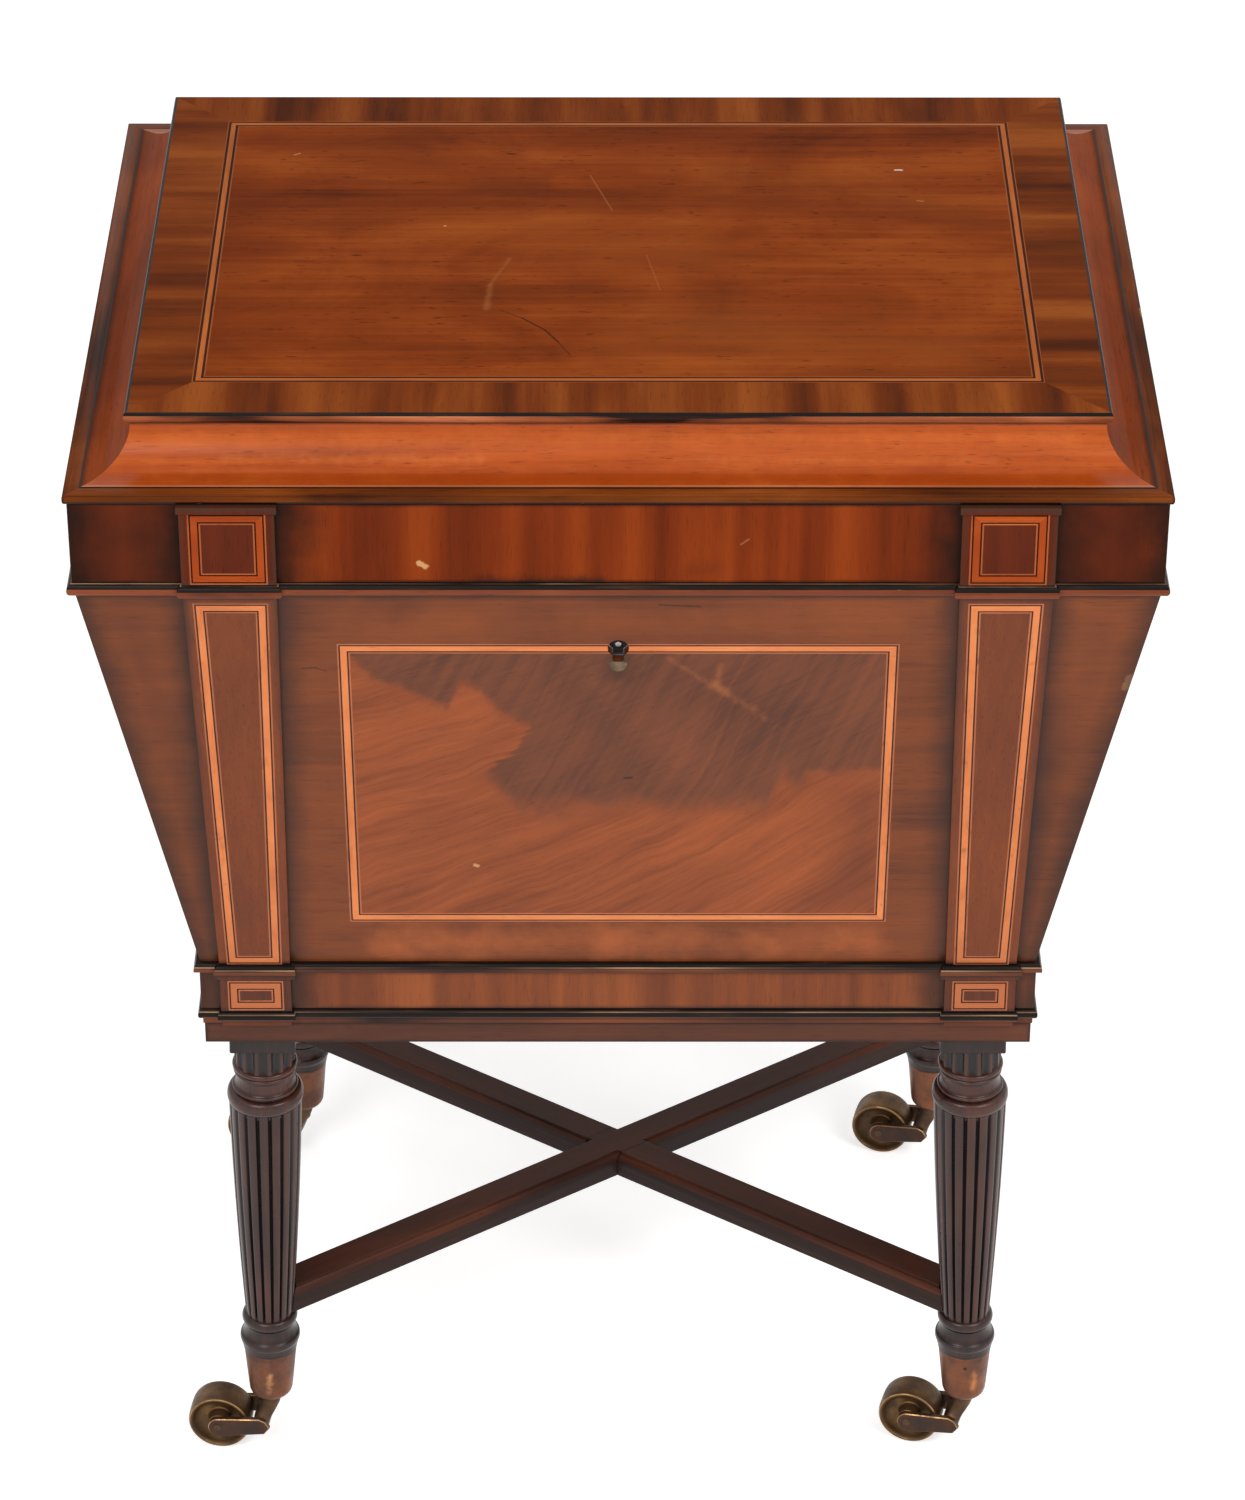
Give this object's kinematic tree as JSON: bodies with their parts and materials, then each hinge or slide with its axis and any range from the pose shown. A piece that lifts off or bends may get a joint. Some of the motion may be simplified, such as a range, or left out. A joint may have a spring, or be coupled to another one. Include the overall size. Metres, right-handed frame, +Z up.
{
  "type": "cellarette",
  "caption": "Tapering wine cellarette with a coved hinged lid, bottle cells in a lined box, a lock and a stand of reeded legs, crossed stretcher and castors.",
  "frame": {"origin": "on the floor under the middle of the cellarette", "axes": "+Z up, -Y towards the front with the keyhole, +X to the right of someone facing the front"},
  "size_m": [0.5612, 0.4351, 0.712],
  "materials": {
    "top_veneer": "faded mahogany veneer, French polished, satin",
    "cove_mahogany": "bright orange-red mahogany, polished",
    "mahogany": "red-brown mahogany veneer with inlaid bands, polished",
    "dark_mahogany": "dark mahogany, polished",
    "ebonised_wood": "black stained beading, worn at its edges",
    "leg_mahogany": "near-black turned mahogany, glossy",
    "inner_wood": "plain unpolished wood",
    "liner_metal": "dull grey folded sheet metal",
    "castor_cup_brass": "copper-brown aged brass, worn bright in places",
    "antique_brass": "dark aged brass with bright rims",
    "hinge_brass": "dull yellow brass",
    "lock_steel": "dark steel"
  },
  "bodies": {
    "carcass": {"body_front": "mahogany", "body_back": "mahogany", "body_left": "mahogany", "body_right": "mahogany", "pilaster_left": "mahogany", "pilaster_right": "mahogany", "base_moulding": "ebonised_wood", "base_frieze": "mahogany", "base_block_left": "mahogany", "base_block_right": "mahogany", "body_bottom": "inner_wood", "liner": "liner_metal", "divider_long_1": "inner_wood", "divider_long_2": "inner_wood", "divider_short_1": "inner_wood", "divider_short_2": "inner_wood", "divider_short_3": "inner_wood", "lock_case": "lock_steel", "body_hinge_leaf_left": "hinge_brass", "hinge_pin_left": "hinge_brass", "body_hinge_leaf_right": "hinge_brass", "hinge_pin_right": "hinge_brass", "stand_moulding": "ebonised_wood", "plinth_frame": "dark_mahogany", "leg_front_left": "leg_mahogany", "leg_front_right": "leg_mahogany", "leg_back_left": "leg_mahogany", "leg_back_right": "leg_mahogany", "stretcher_over": "leg_mahogany", "stretcher_under": "leg_mahogany", "castor_cup_front_left": "castor_cup_brass", "castor_cup_front_right": "castor_cup_brass", "castor_cup_back_left": "castor_cup_brass", "castor_cup_back_right": "castor_cup_brass"},
    "lid": {"lid_top_board": "top_veneer", "lid_cove": "cove_mahogany", "lid_ledge": "dark_mahogany", "lid_frieze_front": "mahogany", "lid_frieze_back": "mahogany", "lid_frieze_left": "mahogany", "lid_frieze_right": "mahogany", "lid_bead": "ebonised_wood", "lid_block_left": "mahogany", "lid_block_right": "mahogany", "lid_link_plate": "hinge_brass", "lid_hinge_leaf_left": "hinge_brass", "lid_hinge_leaf_right": "hinge_brass"},
    "lock_bolt": {"lock_bolt": "lock_steel"},
    "castor_front_left": {"castor_fork_front_left": "antique_brass", "castor_axle_front_left": "antique_brass"},
    "wheel_front_left": {"castor_wheel_front_left": "antique_brass"},
    "castor_front_right": {"castor_fork_front_right": "antique_brass", "castor_axle_front_right": "antique_brass"},
    "wheel_front_right": {"castor_wheel_front_right": "antique_brass"},
    "castor_back_left": {"castor_fork_back_left": "antique_brass", "castor_axle_back_left": "antique_brass"},
    "wheel_back_left": {"castor_wheel_back_left": "antique_brass"},
    "castor_back_right": {"castor_fork_back_right": "antique_brass", "castor_axle_back_right": "antique_brass"},
    "wheel_back_right": {"castor_wheel_back_right": "antique_brass"}
  },
  "joints": [
    {"name": "lid_hinge", "type": "hinge", "parent": "carcass", "child": "lid", "pos_m": [0, 0.2146, 0.6216], "axis": [-1, 0, 0], "range_deg": [0, 95]},
    {"name": "lock_bolt_slide", "type": "slide", "parent": "carcass", "child": "lock_bolt", "axis": [1, 0, 0], "range_m": [0, 0.008]},
    {"name": "castor_swivel_front_left", "type": "hinge", "parent": "carcass", "child": "castor_front_left", "pos_m": [-0.20113, -0.13843, 0.02], "axis": [0, 0, 1], "continuous": true},
    {"name": "castor_wheel_spin_front_left", "type": "hinge", "parent": "castor_front_left", "child": "wheel_front_left", "pos_m": [-0.2313, -0.13473, 0.0182], "axis": [0.1219, 0.9925, 0], "continuous": true},
    {"name": "castor_swivel_front_right", "type": "hinge", "parent": "carcass", "child": "castor_front_right", "pos_m": [0.20113, -0.13843, 0.02], "axis": [0, 0, 1], "continuous": true},
    {"name": "castor_wheel_spin_front_right", "type": "hinge", "parent": "castor_front_right", "child": "wheel_front_right", "pos_m": [0.17191, -0.13005, 0.0182], "axis": [0.2756, 0.9613, 0], "continuous": true},
    {"name": "castor_swivel_back_left", "type": "hinge", "parent": "carcass", "child": "castor_back_left", "pos_m": [-0.1965, 0.1424, 0.02], "axis": [0, 0, 1], "continuous": true},
    {"name": "castor_wheel_spin_back_left", "type": "hinge", "parent": "castor_back_left", "child": "wheel_back_left", "pos_m": [-0.226, 0.14975, 0.0182], "axis": [0.2419, 0.9703, 0], "continuous": true},
    {"name": "castor_swivel_back_right", "type": "hinge", "parent": "carcass", "child": "castor_back_right", "pos_m": [0.1965, 0.1424, 0.02], "axis": [0, 0, 1], "continuous": true},
    {"name": "castor_wheel_spin_back_right", "type": "hinge", "parent": "castor_back_right", "child": "wheel_back_right", "pos_m": [0.167, 0.14975, 0.0182], "axis": [0.2419, 0.9703, 0], "continuous": true}
  ]
}
